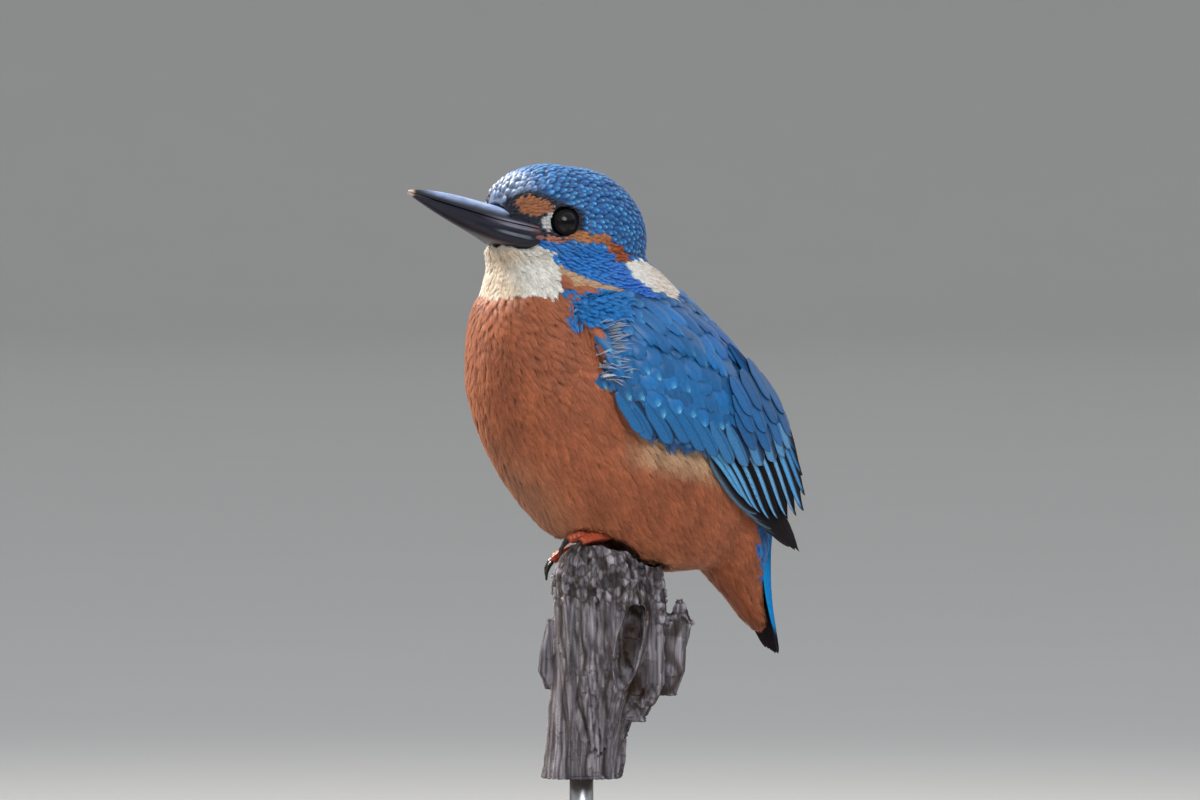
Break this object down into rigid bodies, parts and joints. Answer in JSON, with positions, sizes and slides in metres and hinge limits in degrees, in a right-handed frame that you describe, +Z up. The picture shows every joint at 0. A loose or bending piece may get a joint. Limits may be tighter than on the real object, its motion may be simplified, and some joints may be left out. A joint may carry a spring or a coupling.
{
  "type": "common kingfisher on a cut perch, life-size display model",
  "caption": "Life-size still model of a common kingfisher gripping the broken end of an upright dead stem, held on a plain round display stand.",
  "frame": {"origin": "centre of the underside of the round stand", "axes": "+Z up, the bird's body faces -Y, +X is the bird's left side; the head is turned a little towards +X"},
  "size_m": [0.104, 0.104, 0.1532],
  "materials": {
    "plumage_blue": "feathers, deep to bright blue, satin",
    "plumage_white": "feathers, white to cream, soft",
    "plumage_orange": "feathers, rich orange-brown, soft",
    "plumage_flight": "flight feathers, blue outer edges on dark vanes, satin",
    "bill": "horn, black with a pale tip, semi-gloss",
    "eye": "very dark brown, high gloss",
    "foot": "scaled skin, orange-red, satin",
    "claw": "horn, near black, semi-gloss",
    "perch_wood": "weathered grey dead wood, split and crumbling, matt",
    "stand_wood": "turned dark wood, satin varnish",
    "stand_steel": "plain steel rod"
  },
  "bodies": {
    "root": {"head": "plumage_blue", "neck": "plumage_white", "trunk": "plumage_orange", "tail_coverts": "plumage_orange", "tail": "plumage_blue", "wing_left": "plumage_blue", "wing_left_flight": "plumage_flight", "wing_right": "plumage_blue", "wing_right_flight": "plumage_flight", "bill_upper": "bill", "bill_lower": "bill", "eye_left": "eye", "eye_right": "eye", "leg_left": "foot", "toe_left_inner": "foot", "toe_left_middle": "foot", "toe_left_outer": "foot", "toe_left_hind": "foot", "claw_left_inner": "claw", "claw_left_middle": "claw", "claw_left_outer": "claw", "claw_left_hind": "claw", "leg_right": "foot", "toe_right_inner": "foot", "toe_right_middle": "foot", "toe_right_outer": "foot", "toe_right_hind": "foot", "claw_right_inner": "claw", "claw_right_middle": "claw", "claw_right_outer": "claw", "claw_right_hind": "claw", "perch": "perch_wood", "stand_base": "stand_wood", "stand_rod": "stand_steel"}
  },
  "joints": []
}
